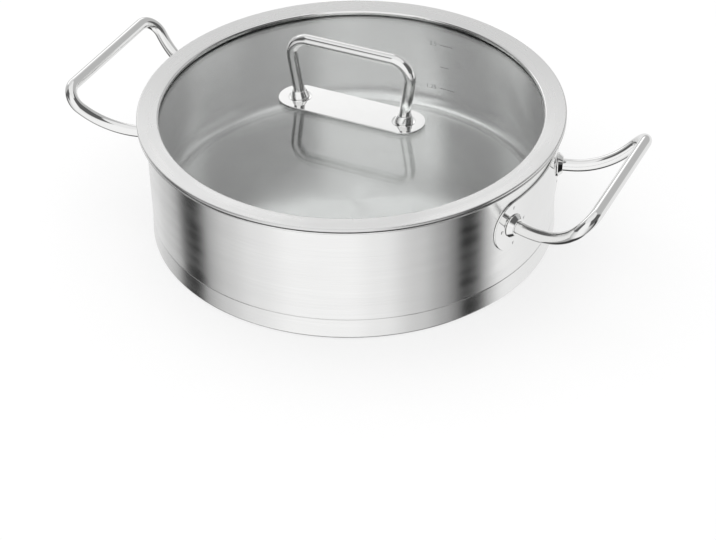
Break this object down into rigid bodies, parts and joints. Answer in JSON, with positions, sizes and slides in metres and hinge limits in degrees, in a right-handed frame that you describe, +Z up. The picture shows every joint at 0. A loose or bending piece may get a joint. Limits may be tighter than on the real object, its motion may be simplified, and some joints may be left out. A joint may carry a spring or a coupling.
{
  "type": "serving pan with lid",
  "caption": "Round straight-walled steel serving pan with bent-rod side handles and a lift-off flat glass lid with a bent-rod grip.",
  "frame": {"origin": "centre of the base's underside, on the pan's axis", "axes": "+X through the side handles, +Z up along the pan's axis"},
  "size_m": [0.3978, 0.2932, 0.1381],
  "materials": {
    "brushed_steel": "satin, brushed round the pan",
    "polished_steel": "mirror polished",
    "fastener_steel": "plain bright steel",
    "core_aluminium": "plain, hidden inside the base",
    "lid_glass": "clear, flat and polished",
    "seal_rubber": "dark matt silicone"
  },
  "bodies": {
    "pan": {"pan_shell": "brushed_steel", "base_core": "core_aluminium", "base_cap": "brushed_steel", "handle_plate_right": "polished_steel", "handle_plate_left": "polished_steel", "handle_rod_right": "polished_steel", "handle_rod_left": "polished_steel", "handle_collar_right_a": "polished_steel", "handle_collar_right_b": "polished_steel", "handle_collar_left_a": "polished_steel", "handle_collar_left_b": "polished_steel"},
    "lid": {"lid_ring": "brushed_steel", "lid_glass": "lid_glass", "lid_plate": "polished_steel", "lid_grip": "polished_steel", "lid_collar_left": "polished_steel", "lid_collar_right": "polished_steel", "lid_screw_left": "fastener_steel", "lid_screw_right": "fastener_steel", "lid_washer_left": "fastener_steel", "lid_washer_right": "fastener_steel", "lid_seal": "seal_rubber", "lid_pad": "seal_rubber", "lid_grommet_left": "seal_rubber", "lid_grommet_right": "seal_rubber"}
  },
  "joints": [
    {"name": "lid_lift", "type": "slide", "parent": "pan", "child": "lid", "axis": [0, 0, 1], "range_m": [0, 0.15]}
  ]
}
